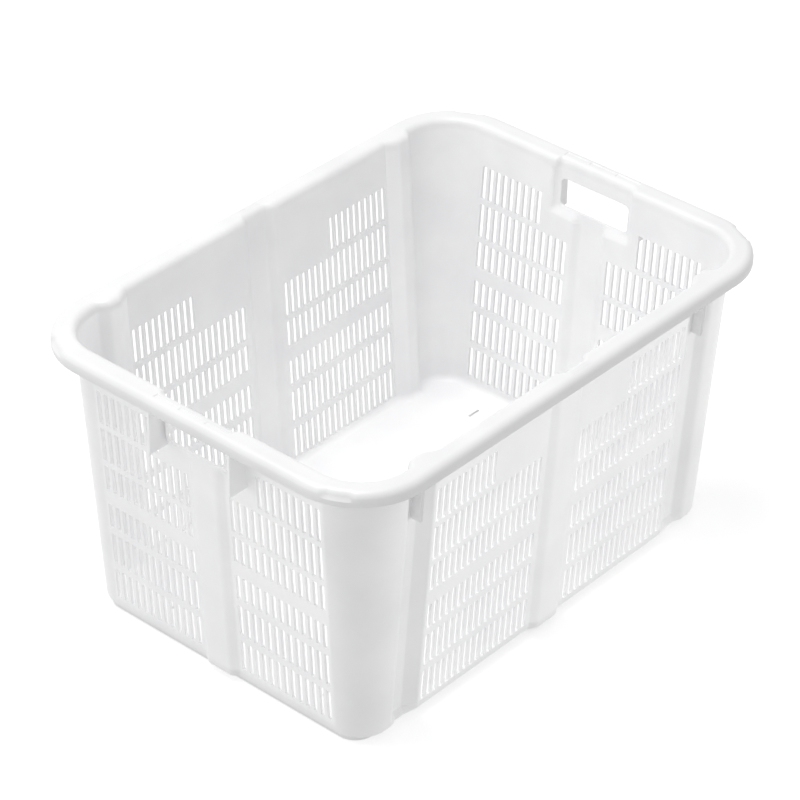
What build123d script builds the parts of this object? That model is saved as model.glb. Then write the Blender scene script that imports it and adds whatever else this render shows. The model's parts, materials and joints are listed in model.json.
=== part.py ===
"""Slotted vegetable basket: a moulded nesting harvest tub, built region by region.

Frame: origin on the ground under the middle, +X along the length, +Z up, millimetres.
The long walls face front (-Y) and back (+Y), the end walls face left (-X) and right (+X).
"""
import os
from math import atan2, cos, pi, radians, sin, tan

from build123d import *

# Rim: a flat flange with a lip turned down around it
rim_length = 600.0
rim_width = 430.0
basket_height = 310.0
rim_corner_radius = 76.0
rim_overhang_end = 23.0
rim_overhang_side = 20.5
flange_thickness = 3.0
rim_edge_chamfer = 3.0
lip_height = 14.0
lip_thickness = 4.0

# Stacking notches in the rim's outer face, on each corner arc
notch_depth = 2.0
notch_height = 8.0
notch_start = 15.0
notch_sweep = 24.0

# Walls, which lean outwards so that empty baskets nest
draft = 3.8
wall = 3.0
corner_radius = 33.0
corner_facets = 8

# Floor and foot
foot_height = 5.0
foot_inset_end = 4.0
foot_inset_side = 10.0
foot_width = 5.0
foot_corner_cut = 13.0
floor_thickness = 3.0
drain_length = 15.0
drain_width = 4.0
drain_inset_end = 38.0
drain_inset_side = 76.0

# Centre columns, folded outwards in the middle of each wall
column_face = 29.0
column_slope = 7.0
column_shoulder = 1.5
column_projection = 5.5

# Nesting grooves, folded inwards beside each corner of the long walls
groove_depth = 8.0
groove_floor = 12.0
groove_outer_slope = 9.0
groove_inner_slope = 14.0
groove_shoulder = 7.0
groove_lap = 0.5

# Nest-stop lugs, one hanging from the rim in each groove
lug_thickness = 4.0
lug_drop = 66.0
lug_projection = 11.2

# Hand holes under the rim of the end walls, each in a pocket as deep as the column that
# climbs into it, between two cheeks
hand_hole_width = 84.0
hand_hole_height = 29.7
hand_hole_corner = 3.0
hand_hole_below_rim = 22.3
pocket_margin = 3.0
pocket_slope = 5.0
pocket_shoulder = 2.0
pocket_sill = 1.5
pocket_ledge = 4.5
pocket_cap = 2.5
grip_sill = 4.5
cheek_gap = 6.0
cheek_thickness = 3.0

# Slots in each half wall, spread evenly along rows that share out the wall's height from
# the top down, with the belt in the widest gap
slot_width = 5.2
end_slots = 13
end_slot_margin = 2.9
end_slot_edge = 3.5
end_rows_below_rim = 44.0
end_rows_above_floor = 11.5
side_slots = 18
side_slot_margin = 5.1
side_slot_edge = 2.9
side_rows_below_rim = 48.0
side_rows_above_floor = 7.5
row_heights = (37.0, 38.0, 29.0, 28.0, 36.0, 34.5)
row_gaps = (6.0, 6.0, 16.5, 8.0, 7.5)
grip_slot_clearance = 8.0
plain_field_length = 188.0

# Heights and half widths that follow
floor_top = foot_height + floor_thickness
rim_under = basket_height - flange_thickness
lip_bottom = basket_height - lip_height
hole_top = basket_height - hand_hole_below_rim
hole_bottom = hole_top - hand_hole_height
ledge_top = hole_bottom - pocket_sill
ledge_bottom = ledge_top - pocket_ledge
grip_bottom = ledge_bottom - grip_sill
pocket_half = hand_hole_width / 2 + pocket_margin
pocket_fold = pocket_half + pocket_slope
grip_half = pocket_fold + pocket_shoulder
column_fold = column_face / 2 + column_slope
column_half = column_fold + column_shoulder
belt_row = row_gaps.index(max(row_gaps)) + 1
lean = tan(radians(draft))


def end_face(z):
    """Distance from the middle to an end wall's outer face at height z."""
    return rim_length / 2 - rim_overhang_end - (rim_under - z) * lean


def side_face(z):
    """Distance from the middle to a long wall's outer face at height z."""
    return rim_width / 2 - rim_overhang_side - (rim_under - z) * lean


def post_radius(z):
    """Outer radius of the corners at height z: rounds that keep their axis as the walls lean."""
    return corner_radius + (z - floor_top) * lean


def miter(rise, run):
    """Shift of a fold's corner from the outer face to the inner face of the wall."""
    return wall * tan(atan2(rise, run) / 2)


# Places along the walls where panels, grooves and corner posts meet
groove_outer_miter = miter(groove_depth, groove_outer_slope)
groove_inner_miter = miter(groove_depth, groove_inner_slope)
post_x = end_face(floor_top) - corner_radius
post_y = side_face(floor_top) - corner_radius
end_panel_end = post_y
groove_end = post_x - groove_shoulder
groove_floor_outer = groove_end - groove_outer_slope
groove_floor_inner = groove_floor_outer - groove_floor
groove_start = groove_floor_inner - groove_inner_slope
side_panel_end = groove_start - groove_inner_miter - groove_lap
lug_place = (groove_floor_outer + groove_floor_inner) / 2

ENDS = {"left": -1, "right": 1}
SIDES = {"front": -1, "back": 1}
WALLS = {"right": end_face, "back": side_face, "left": end_face, "front": side_face}


def wall_angle(name):
    """Angle of a wall's outward direction, counted round from +X."""
    return 360 * list(WALLS).index(name) / len(WALLS)


def end_plane(end):
    """Outer face of an end wall: x runs along the wall, y climbs its lean."""
    return Plane((end * end_face(0), 0, 0), x_dir=(0, end, 0), z_dir=(end, 0, -lean))


def side_plane(side):
    """Outer face of a long wall: x runs along the wall, y climbs its lean."""
    return Plane((0, side * side_face(0), 0), x_dir=(-side, 0, 0), z_dir=(0, side, -lean))


def climb(height):
    """Length up a leaning wall that gains this height."""
    return height / cos(radians(draft))


def slot_places(count, margin, edge, panel_end):
    """Distances from the wall's middle to each slot, spread evenly over its half panel."""
    first = column_half + margin + slot_width / 2
    last = panel_end - edge - slot_width / 2
    return [first + (last - first) * i / (count - 1) for i in range(count)]


def slot_rows(below_rim, above_floor, places, plain_half):
    """Bottom, top and slot places of each row, with none near the middle of the top row."""
    rows = []
    top = basket_height - below_rim
    share = (top - above_floor - floor_top) / (sum(row_heights) + sum(row_gaps))
    for height, gap in zip(row_heights, row_gaps + (0.0,)):
        open_from = 0 if rows else plain_half
        bottom = top - height * share
        rows.append((bottom, top, [u for u in places if u >= open_from]))
        top = bottom - gap * share
    return rows


def cut_slots(rows, toward):
    """Cuts rows of upright slots into the sketch of a leaning panel."""
    for bottom, top, places in rows:
        with Locations([(toward * u, climb((bottom + top) / 2)) for u in places]):
            Rectangle(slot_width, climb(top - bottom), mode=Mode.SUBTRACT)


end_rows = slot_rows(
    end_rows_below_rim,
    end_rows_above_floor,
    slot_places(end_slots, end_slot_margin, end_slot_edge, end_panel_end),
    grip_half + grip_slot_clearance,
)
side_rows = slot_rows(
    side_rows_below_rim,
    side_rows_above_floor,
    slot_places(side_slots, side_slot_margin, side_slot_edge, side_panel_end),
    plain_field_length / 2,
)
end_sill, end_belt = end_rows[-1][0], end_rows[belt_row - 1][0]
side_sill, side_belt = side_rows[-1][0], side_rows[belt_row - 1][0]


def groove_path(z, inset):
    """Plan points from a corner post's round across its groove, on the outer or inner face."""
    y = side_face(z) - inset
    outer_shift = groove_outer_miter if inset else 0
    inner_shift = groove_inner_miter if inset else 0
    return [
        (post_x, y),
        (groove_end + outer_shift, y),
        (groove_floor_outer + outer_shift, y - groove_depth),
        (groove_floor_inner - inner_shift, y - groove_depth),
        (groove_start - inner_shift, y),
        (side_panel_end, y),
    ]


def corner_arc(radius):
    """Plan points along the round of a corner post, which is made of flat facets."""
    turns = [pi / 2 * k / corner_facets for k in range(corner_facets + 1)]
    return [(post_x + radius * cos(turn), post_y + radius * sin(turn)) for turn in turns]


def fold_outline(face, base_half, crest_half):
    """Plan points of an outward fold in a wall that faces +X, from its base over its crest."""
    crest = face + column_projection
    return [(face, base_half), (crest, crest_half), (crest, -crest_half), (face, -base_half)]


def fold_sketch(z, name, outline):
    """Plan sketch at height z of a fold in the named wall."""
    with BuildSketch(Plane.XY.offset(z)) as sketch:
        with BuildLine(Plane.XY.offset(z).rotated((0, 0, wall_angle(name)))):
            Polyline(*outline, close=True)
        make_face()
    return sketch.sketch


def write(builder, name):
    """Names a finished piece and writes it to its own file."""
    builder.part.label = name
    export_step(builder.part, f"parts/{name}.step")


def half_panel(toward, inner, outer, bottom, top):
    """Draws the plain outline of a half panel on a leaning plane."""
    middle = climb((bottom + top) / 2)
    with Locations((toward * (inner + outer) / 2, middle)):
        Rectangle(outer - inner, climb(top - bottom))


os.makedirs("parts", exist_ok=True)


# Floor: a plate in the plan of the walls with every fold, with drain slots and with the
# sills that close the lowest slots
with BuildPart() as floor_tray:
    with BuildSketch(Plane.XY.offset(floor_top)):
        RectangleRounded(2 * end_face(floor_top), 2 * side_face(floor_top), corner_radius)
        for name, face in WALLS.items():
            outline = fold_outline(face(floor_top), column_fold, column_face / 2)
            add(fold_sketch(floor_top, name, outline))
        for end in ENDS.values():
            for side in SIDES.values():
                with BuildLine():
                    groove = groove_path(floor_top, 0)[1:-1]
                    Polyline(*((end * x, side * y) for x, y in groove), close=True)
                make_face(mode=Mode.SUBTRACT)
        drain_x = end_face(floor_top) - drain_inset_end
        drain_y = side_face(floor_top) - drain_inset_side
        with GridLocations(2 * drain_x, 2 * drain_y, 2, 2):
            Rectangle(drain_length, drain_width, mode=Mode.SUBTRACT)
    extrude(amount=-floor_thickness)
    for end in ENDS.values():
        with BuildSketch(end_plane(end)):
            for toward in (-1, 1):
                half_panel(toward, column_half, end_panel_end, floor_top, end_sill)
        extrude(amount=wall, dir=(-end, 0, 0))
    for side in SIDES.values():
        with BuildSketch(side_plane(side)):
            for toward in (-1, 1):
                half_panel(toward, column_half, side_panel_end, floor_top, side_sill)
        extrude(amount=wall, dir=(0, -side, 0))
write(floor_tray, "floor_tray")


# Foot: a low ring that the basket stands on, set in from the walls
with BuildPart() as foot_ring:
    foot_length = 2 * (end_face(floor_top) - foot_inset_end)
    foot_breadth = 2 * (side_face(floor_top) - foot_inset_side)
    with BuildSketch() as footprint:
        Rectangle(foot_length, foot_breadth)
        chamfer(footprint.vertices(), foot_corner_cut)
        offset(amount=-foot_width, kind=Kind.INTERSECTION, mode=Mode.SUBTRACT)
    extrude(amount=foot_height)
write(foot_ring, "foot_ring")


# Slotted half panels, one above and one below the belt: leaning plates whose slots run
# level through the wall, as the mould's side cores pull
for end_name, end in ENDS.items():
    for side_name, side in SIDES.items():
        toward = end * side
        with BuildPart() as upper_panel:
            with BuildSketch(end_plane(end)):
                half_panel(toward, column_half, end_panel_end, end_belt, grip_bottom)
                half_panel(toward, grip_half, end_panel_end, grip_bottom, rim_under)
                cut_slots(end_rows[:belt_row], toward)
            extrude(amount=wall, dir=(-end, 0, 0))
        write(upper_panel, f"{end_name}_panel_{side_name}_upper")
        with BuildPart() as lower_panel:
            with BuildSketch(end_plane(end)):
                half_panel(toward, column_half, end_panel_end, end_sill, end_belt)
                cut_slots(end_rows[belt_row:], toward)
            extrude(amount=wall, dir=(-end, 0, 0))
        write(lower_panel, f"{end_name}_panel_{side_name}_lower")

for side_name, side in SIDES.items():
    for end_name, end in ENDS.items():
        toward = -side * end
        with BuildPart() as upper_panel:
            with BuildSketch(side_plane(side)):
                half_panel(toward, column_half, side_panel_end, side_belt, rim_under)
                cut_slots(side_rows[:belt_row], toward)
            extrude(amount=wall, dir=(0, -side, 0))
        write(upper_panel, f"{side_name}_panel_{end_name}_upper")
        with BuildPart() as lower_panel:
            with BuildSketch(side_plane(side)):
                half_panel(toward, column_half, side_panel_end, side_sill, side_belt)
                cut_slots(side_rows[belt_row:], toward)
            extrude(amount=wall, dir=(0, -side, 0))
        write(lower_panel, f"{side_name}_panel_{end_name}_lower")


# Centre columns: the wall folded outwards, up to the rim on the long walls and up to the
# hand grips on the end walls
for name, face in WALLS.items():
    top = grip_bottom if name in ENDS else rim_under
    across = Plane.XY.rotated((0, 0, wall_angle(name)))
    foot = face(floor_top)
    with BuildPart() as column:
        with BuildSketch(across.offset(floor_top)):
            with BuildLine():
                crest = fold_outline(foot, column_fold, column_face / 2)
                Polyline((foot, column_half), *crest, (foot, -column_half))
                offset(amount=wall, side=Side.RIGHT, kind=Kind.INTERSECTION)
            make_face()
        extrude(amount=climb(top - floor_top), dir=across.x_dir * lean + across.z_dir)
    write(column, f"{name}_column")


# Corner posts: a quarter round that opens out upwards, and the nesting groove beside it
for end_name, end in ENDS.items():
    for side_name, side in SIDES.items():
        with BuildPart() as post:
            for z in (floor_top, rim_under):
                with BuildSketch(Plane.XY.offset(z)):
                    with BuildLine():
                        ring = corner_arc(post_radius(z)) + corner_arc(post_radius(z) - wall)[::-1]
                        Polyline(*((end * x, side * y) for x, y in ring), close=True)
                    make_face()
            loft(ruled=True)
            with BuildSketch(Plane.XY.offset(floor_top)):
                with BuildLine():
                    strip = groove_path(floor_top, 0) + groove_path(floor_top, wall)[::-1]
                    Polyline(*((end * x, side * y) for x, y in strip), close=True)
                make_face()
            extrude(amount=climb(rim_under - floor_top), dir=(0, side * lean, 1))
        write(post, f"corner_post_{side_name}_{end_name}")


# Rim: its mouth follows the inner faces of the walls, with every fold
with BuildSketch(Plane.XY.offset(rim_under)) as mouth:
    mouth_length = 2 * (end_face(rim_under) - wall)
    mouth_width = 2 * (side_face(rim_under) - wall)
    RectangleRounded(mouth_length, mouth_width, post_radius(rim_under) - wall)
    for name, face in WALLS.items():
        shift = 0 if name in ENDS else miter(column_projection, column_slope)
        base_half = pocket_fold if name in ENDS else column_fold - shift
        crest_half = pocket_half if name in ENDS else column_face / 2 - shift
        outline = fold_outline(face(rim_under) - wall, base_half, crest_half)
        add(fold_sketch(rim_under, name, outline))
    for end in ENDS.values():
        for side in SIDES.values():
            with BuildLine():
                ridge = groove_path(rim_under, wall)[1:-1]
                Polyline(*((end * x, side * y) for x, y in ridge), close=True)
            make_face(mode=Mode.SUBTRACT)

with BuildPart() as rim:
    with BuildSketch(Plane.XY.offset(rim_under)):
        RectangleRounded(rim_length, rim_width, rim_corner_radius)
        add(mouth.sketch, mode=Mode.SUBTRACT)
    extrude(amount=flange_thickness)
    with BuildSketch(Plane.XY.offset(lip_bottom)):
        RectangleRounded(rim_length, rim_width, rim_corner_radius)
        offset(amount=-lip_thickness, mode=Mode.SUBTRACT)
    extrude(amount=rim_under - lip_bottom)
    chamfer(rim.faces().sort_by(Axis.Z)[-1].outer_wire().edges(), rim_edge_chamfer)
    with BuildSketch(Plane.XY.offset(basket_height)):
        corner = (rim_length / 2 - rim_corner_radius, rim_width / 2 - rim_corner_radius)
        with BuildLine():
            face_arc = CenterArc(corner, rim_corner_radius, notch_start, notch_sweep)
            back_arc = CenterArc(corner, rim_corner_radius - notch_depth, notch_start, notch_sweep)
            Line(face_arc @ 0, back_arc @ 0)
            Line(face_arc @ 1, back_arc @ 1)
        make_face()
        mirror(about=Plane.XZ)
        mirror(about=Plane.YZ)
    extrude(amount=-notch_height, mode=Mode.SUBTRACT)
write(rim, "rim")


def fold_prism(name, bottom, top, base_half, crest_half, inset):
    """Solid that fills a fold of an end wall between two heights, moved in by the inset."""
    outline = fold_outline(end_face(bottom) - inset, base_half, crest_half)
    with BuildPart() as prism:
        add(fold_sketch(bottom, name, outline))
        extrude(amount=climb(top - bottom), dir=(ENDS[name] * lean, 0, 1))
    return prism.part


def pocket(name, inset):
    """Solid that fills a hand hole's pocket over its sloping ledge, moved in by the inset."""
    ledge = (
        (end_face(ledge_bottom) - inset, ledge_bottom),
        (end_face(ledge_top) - inset + column_projection, ledge_top),
        (end_face(rim_under) - inset + column_projection, rim_under),
        (end_face(rim_under) - inset, rim_under),
    )
    with BuildPart() as bulge:
        add(fold_prism(name, ledge_bottom, rim_under, pocket_fold, pocket_half, inset))
        with BuildSketch(Plane.XZ):
            with BuildLine():
                Polyline(*((ENDS[name] * x, z) for x, z in ledge), close=True)
            make_face()
        extrude(amount=pocket_fold, both=True, mode=Mode.INTERSECT)
    return bulge.part


# Hand grips: the pocketed wall around each hand hole, a cap that closes the column under
# it, and two cheeks that tie it to the rim
for end_name, end in ENDS.items():
    cap_bottom = hole_bottom - pocket_cap
    column_shift = miter(column_projection, column_slope)
    inner_fold = column_fold - column_shift
    inner_crest = column_face / 2 - column_shift
    with BuildPart() as grip:
        with BuildSketch(end_plane(end)):
            half_panel(1, -grip_half, grip_half, grip_bottom, rim_under)
        extrude(amount=wall, dir=(-end, 0, 0))
        add(pocket(end_name, 0))
        add(fold_prism(end_name, grip_bottom, hole_bottom, column_fold, column_face / 2, 0))
        recess = fold_prism(end_name, grip_bottom, cap_bottom, inner_fold, inner_crest, wall)
        add(recess, mode=Mode.SUBTRACT)
        add(pocket(end_name, wall), mode=Mode.SUBTRACT)
        add(fold_prism(end_name, cap_bottom, hole_bottom, column_fold, column_face / 2, 0))
        with BuildSketch(Plane.YZ) as hand_hole:
            with Locations((0, (hole_bottom + hole_top) / 2)):
                Rectangle(hand_hole_width, hand_hole_height)
            chamfer(hand_hole.vertices(), hand_hole_corner)
        extrude(amount=end * rim_length / 2, mode=Mode.SUBTRACT)
        cheek = (
            (end_face(grip_bottom), grip_bottom),
            (end_face(rim_under), rim_under),
            (rim_length / 2 - lip_thickness, rim_under),
            (rim_length / 2 - lip_thickness, grip_bottom),
        )
        cheek_face = hand_hole_width / 2 + cheek_gap
        for y in (cheek_face + cheek_thickness, -cheek_face):
            with BuildSketch(Plane.XZ.offset(-y)):
                with BuildLine():
                    Polyline(*((end * x, z) for x, z in cheek), close=True)
                make_face()
            extrude(amount=cheek_thickness)
    write(grip, f"{end_name}_hand_grip")


# Nest-stop lugs: fins in the grooves that hold the next basket's rim off this one
for end_name, end in ENDS.items():
    for side_name, side in SIDES.items():
        lug_bottom = rim_under - lug_drop
        with BuildPart() as lug:
            with BuildSketch(Plane.YZ.offset(end * lug_place)):
                with BuildLine():
                    root = [(side_face(z) - groove_depth, z) for z in (lug_bottom, rim_under)]
                    tip = [(y + lug_projection, z) for y, z in root[::-1]]
                    Polyline(*((side * y, z) for y, z in root + tip), close=True)
                make_face()
            extrude(amount=lug_thickness / 2, both=True)
        write(lug, f"stop_lug_{side_name}_{end_name}")
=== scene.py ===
"""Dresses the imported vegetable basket: its moulded walls, rim, floor and a plain studio stage.

Frame: metres, origin on the ground under the middle, +X along the length, +Z up.
The long walls face front (-Y) and back (+Y), the end walls face left (-X) and right (+X).
"""
import json
from math import cos, pi, radians, sin, sqrt, tan

import bmesh
import bpy
from bpy.props import FloatProperty, FloatVectorProperty, IntProperty, PointerProperty
from mathutils import Matrix, Vector

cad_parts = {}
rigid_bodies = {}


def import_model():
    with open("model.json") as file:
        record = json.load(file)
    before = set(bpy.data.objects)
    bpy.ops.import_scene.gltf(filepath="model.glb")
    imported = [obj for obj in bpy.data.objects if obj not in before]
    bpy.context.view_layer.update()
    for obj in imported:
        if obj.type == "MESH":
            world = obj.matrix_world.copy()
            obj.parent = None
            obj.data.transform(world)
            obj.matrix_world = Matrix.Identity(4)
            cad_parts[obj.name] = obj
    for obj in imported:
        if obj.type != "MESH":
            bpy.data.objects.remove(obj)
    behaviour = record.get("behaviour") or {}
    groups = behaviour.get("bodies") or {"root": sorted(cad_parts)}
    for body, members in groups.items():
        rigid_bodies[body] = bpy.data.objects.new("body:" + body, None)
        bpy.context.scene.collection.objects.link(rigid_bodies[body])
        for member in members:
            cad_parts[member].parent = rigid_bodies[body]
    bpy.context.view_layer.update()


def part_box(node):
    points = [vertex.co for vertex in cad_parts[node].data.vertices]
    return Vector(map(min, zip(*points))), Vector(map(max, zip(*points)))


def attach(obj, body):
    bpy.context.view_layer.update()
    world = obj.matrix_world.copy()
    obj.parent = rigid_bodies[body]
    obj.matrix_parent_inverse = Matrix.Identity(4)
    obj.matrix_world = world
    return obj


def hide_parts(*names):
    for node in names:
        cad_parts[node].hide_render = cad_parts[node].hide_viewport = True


bl_info = {
    "name": "Vegetable basket",
    "version": (1, 0, 0),
    "blender": (4, 5, 0),
    "location": "View3D > Sidebar > Basket",
    "description": "Builds the looks of a slotted harvest basket around its packed CAD frame",
    "category": "Object",
}

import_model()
BODY = "root"

# Lowest and highest corners of the nodes that the pieces are fitted to
RIM_LOW, RIM_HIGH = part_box("rim")
FOOT_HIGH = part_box("foot_ring")[1]
TRAY_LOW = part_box("floor_tray")[0]
POST_LOW, POST_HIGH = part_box("corner_post_back_right")
GRIP_LOW, GRIP_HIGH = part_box("right_hand_grip")
LUG_LOW, LUG_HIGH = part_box("stop_lug_back_right")
SIDE_COLUMN_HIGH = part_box("back_column")[1]
# Axis of a corner's cone, which the walls keep at every height
POST_CENTRE = (POST_LOW.y + POST_HIGH.x - POST_HIGH.y, POST_LOW.y)

ENDS = {"left": -1, "right": 1}
SIDES = {"front": -1, "back": 1}
CORNERS = [(end, x, side, y) for end, x in ENDS.items() for side, y in SIDES.items()]
QUARTERS = ((1, 1), (-1, 1), (-1, -1), (1, -1))

# Steps in each kind of rounding
CORNER_STEPS = 30
BEND_STEPS = 6
ROUND_STEPS = 7
LIP_STEPS = 3
PAN_STEPS = 6
FOOT_STEPS = 3
BEVEL_STEPS = 3
SLOT_STEPS = 3
# Steps of a grip: over and under its hole, round the hole's corners, beside it, outwards, on its edge
SILL_STEPS = 28
FAN_STEPS = 6
JAMB_STEPS = 8
RING_STEPS = 16
EASE_STEPS = 3

# Lengths in metres: the least bend, the width of the recess's sides, points that count as one,
# faces that count as empty, and the least step of the floor plate's outline
LEAST_BEND = 0.001
RECESS_STEP = 0.0008
MERGE_DISTANCE = 1e-6
EMPTY_DISTANCE = 1e-7
OUTLINE_STEP = 2e-5
# Edges that turn by more than these are bevelled, or shaded sharp
BEVEL_ANGLE = radians(30)
SHARP_ANGLE = radians(32)


def length(name, description, millimetres):
    """A size in millimetres, kept in metres as the rest of the scene is."""
    return FloatProperty(
        name=name,
        description=description,
        default=millimetres / 1000,
        min=0.0,
        precision=5,
        subtype="DISTANCE",
        unit="LENGTH",
    )


def lengths(name, description, millimetres):
    """A row of sizes in millimetres, kept in metres."""
    return FloatVectorProperty(
        name=name,
        description=description,
        size=len(millimetres),
        default=[size / 1000 for size in millimetres],
        min=0.0,
        precision=5,
        subtype="NONE",
        unit="LENGTH",
    )


def linear(code):
    """Linear red, green and blue of an sRGB hex colour."""
    parts = [int(code[i : i + 2], 16) / 255 for i in (1, 3, 5)]
    return [c / 12.92 if c <= 0.04045 else ((c + 0.055) / 1.055) ** 2.4 for c in parts]


def colour(name, description, code):
    """A colour given as an sRGB hex code."""
    return FloatVectorProperty(
        name=name,
        description=description,
        size=3,
        default=linear(code),
        min=0.0,
        max=1.0,
        subtype="COLOR",
    )


def vector(name, description, parts, subtype, unit="NONE"):
    """A place or a direction."""
    return FloatVectorProperty(
        name=name, description=description, default=parts, subtype=subtype, unit=unit
    )


def strength(name, description, share):
    """The strength of a light without a lamp."""
    return FloatProperty(name=name, description=description, default=share, min=0.0)


def power(name, description, watts):
    """The power of a lamp."""
    return FloatProperty(name=name, description=description, default=watts, min=0.0, unit="POWER")


class BasketWallSettings(bpy.types.PropertyGroup):
    """Sizes of the folded walls."""

    lean: FloatProperty(
        name="Lean",
        description="How far the walls lean outwards, so that empty baskets nest",
        default=radians(3.8),
        min=0.0,
        subtype="ANGLE",
        unit="ROTATION",
    )
    thickness: length("Wall", "Thickness of the walls", 3.0)
    start: length("Wall start", "Height where the walls stand on the floor pan", 15.0)
    end: length("Wall end", "Height where the walls run into the rim", 300.0)
    crest_bend: length("Crest bend", "Bend radius where a fold stands out", 9.0)
    hollow_bend: length("Hollow bend", "Bend radius where a fold goes in", 4.0)
    column_face: length("Column face", "Width of a centre column's flat face", 29.0)
    column_fold: length("Column fold", "Half width of a centre column at the wall", 21.5)
    column_projection: length("Column projection", "How far the centre columns stand out", 5.5)
    groove_depth: length("Groove depth", "Depth of the nesting grooves", 8.0)
    groove_floor: length("Groove floor", "Width of a nesting groove's floor", 12.0)
    groove_outer_slope: length("Outer slope", "Width of a groove's slope by the corner", 9.0)
    groove_inner_slope: length("Inner slope", "Width of a groove's slope by the panel", 14.0)
    groove_shoulder: length("Groove shoulder", "Flat wall between corner and groove", 7.0)


class BasketSlotSettings(bpy.types.PropertyGroup):
    """Sizes of the slots in the walls."""

    width: length("Slot width", "Width of a slot", 5.2)
    corner: length("Slot corner", "Radius of a slot's corners", 1.0)
    edge: length("Slot edge", "Least wall left beside the last slot", 2.0)
    end_pitch: length("End pitch", "Spacing of the slots on the end walls", 8.92)
    end_margin: length("End margin", "Wall between column and first slot on the ends", 2.9)
    end_top: length("End top", "Depth of the first row under the rim on the ends", 44.0)
    end_clear: length("Grip clearance", "Wall left between a grip and the slots", 8.0)
    side_pitch: length("Side pitch", "Spacing of the slots on the long walls", 8.51)
    side_margin: length("Side margin", "Wall between column and first slot on the sides", 5.1)
    side_top: length("Side top", "Depth of the first row under the rim on the sides", 48.0)
    side_clear: length("Plain field", "Half length of the plain field on the long walls", 94.0)
    row_heights: lengths(
        "Row heights", "Heights of the rows, from the top", (37.0, 38.0, 29.0, 28.0, 36.0, 34.5)
    )
    row_gaps: lengths(
        "Row gaps", "Plain bands under each row, from the top", (6.0, 6.0, 16.5, 8.0, 7.5, 0.0)
    )


class BasketRimSettings(bpy.types.PropertyGroup):
    """Sizes of the rim, the grips and the lugs under it."""

    corner_radius: length("Rim corner", "Radius of the rim's corners in plan", 76.0)
    flange: length("Flange", "Thickness of the rim's flange", 3.0)
    lip: length("Lip", "Thickness of the lip that is turned down", 4.0)
    inner_round: length("Inner round", "Radius of the rim's inner edge", 7.0)
    outer_round: length("Outer round", "Radius of the rim's outer edge", 8.0)
    lip_round: length("Lip round", "Radius of the lip's lower edge", 1.4)
    notch_depth: length("Notch depth", "Depth of the stacking notch in each corner", 2.4)
    notch_height: length("Notch height", "Height of the stacking notches", 8.0)
    notch_slope: length("Notch slope", "Height of the slope under a stacking notch", 3.0)
    notch_start: IntProperty(
        name="Notch start", description="Corner step where a notch starts", default=5, min=0
    )
    notch_end: IntProperty(
        name="Notch end", description="Corner step where a notch ends", default=13, min=0
    )
    recess_depth: length("Recess depth", "Depth of the bare recess over each hand hole", 0.8)
    recess_half: length("Recess half length", "Half length of that recess", 47.0)
    recess_bar: length("Recess bar place", "Place of the bars that part the recess", 15.0)
    recess_rib: length("Recess bar width", "Width of those bars", 2.0)
    recess_inside: length("Recess inside", "Flat rim left inside the recess", 0.2)
    recess_outside: length("Recess outside", "Flat rim left outside the recess", 0.2)
    hole_width: length("Hand hole width", "Width of a hand hole", 84.0)
    hole_height: length("Hand hole height", "Height of a hand hole", 29.7)
    hole_corner: length("Hand hole corner", "Radius of a hand hole's corners", 5.0)
    hole_drop: length("Hand hole drop", "Depth of a hand hole under the rim", 22.3)
    pocket_crest: length("Pocket crest", "Half width of the pocket that a hand hole is in", 45.0)
    pocket_base: length("Pocket base", "Half width of that pocket at the wall", 50.0)
    ledge_low: length("Ledge low", "Height where a pocket starts to stand out", 247.6)
    ledge_high: length("Ledge high", "Height where a pocket stands out fully", 258.5)
    cheek_place: length("Cheek place", "Distance of a cheek's near side from the middle", 48.0)
    cheek: length("Cheek", "Thickness of a grip's cheeks", 3.0)
    lug_reach: length("Lug reach", "How far a lug stands out of its groove", 11.2)
    edge_round: length("Edge round", "Rounding of the edges of holes, cheeks and lugs", 0.9)


class BasketFloorSettings(bpy.types.PropertyGroup):
    """Sizes of the floor pan and its foot."""

    thickness: length("Floor", "Thickness of the floor", 3.0)
    base_round: length("Base round", "Radius of the pan's lower edge", 6.0)
    groove_foot: length("Groove foot", "Depth that the nesting grooves keep at the pan's edge", 3.0)
    inner_round: length("Floor fillet", "Radius where the floor runs up into the walls", 7.0)
    lap: length("Floor lap", "Lap of the floor plate under the fillet", 4.0)
    drain_length: length("Drain length", "Length of a drain slot", 15.0)
    drain_width: length("Drain width", "Width of a drain slot", 2.5)
    drain_x: length("Drain place along", "Distance of the drain slots from the middle", 219.0)
    drain_y: length("Drain place across", "Distance of the drain slots from the middle", 98.0)
    foot_width: length("Foot width", "Width of the foot ring", 5.0)
    foot_corner: length("Foot corner", "Radius of the foot ring's corners", 22.0)
    foot_round: length("Foot round", "Rounding of the foot ring's edge", 1.0)
    foot_let_in: length("Foot let in", "How far the foot ring is let into the pan", 0.5)


class BasketFinishSettings(bpy.types.PropertyGroup):
    """Colours of the plastic and the stage."""

    plastic: colour("Plastic", "White of the polyethylene", "#F8F8F8")
    shade: colour("Plastic shade", "Slightly duller white of its flow marks", "#F3F3F4")
    ground: colour("Ground", "Pale studio floor", "#FBFBFB")
    roughness: FloatProperty(
        name="Roughness",
        description="Roughness of the moulded surface",
        default=0.33,
        min=0.0,
        max=1.0,
        subtype="FACTOR",
    )


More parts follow.
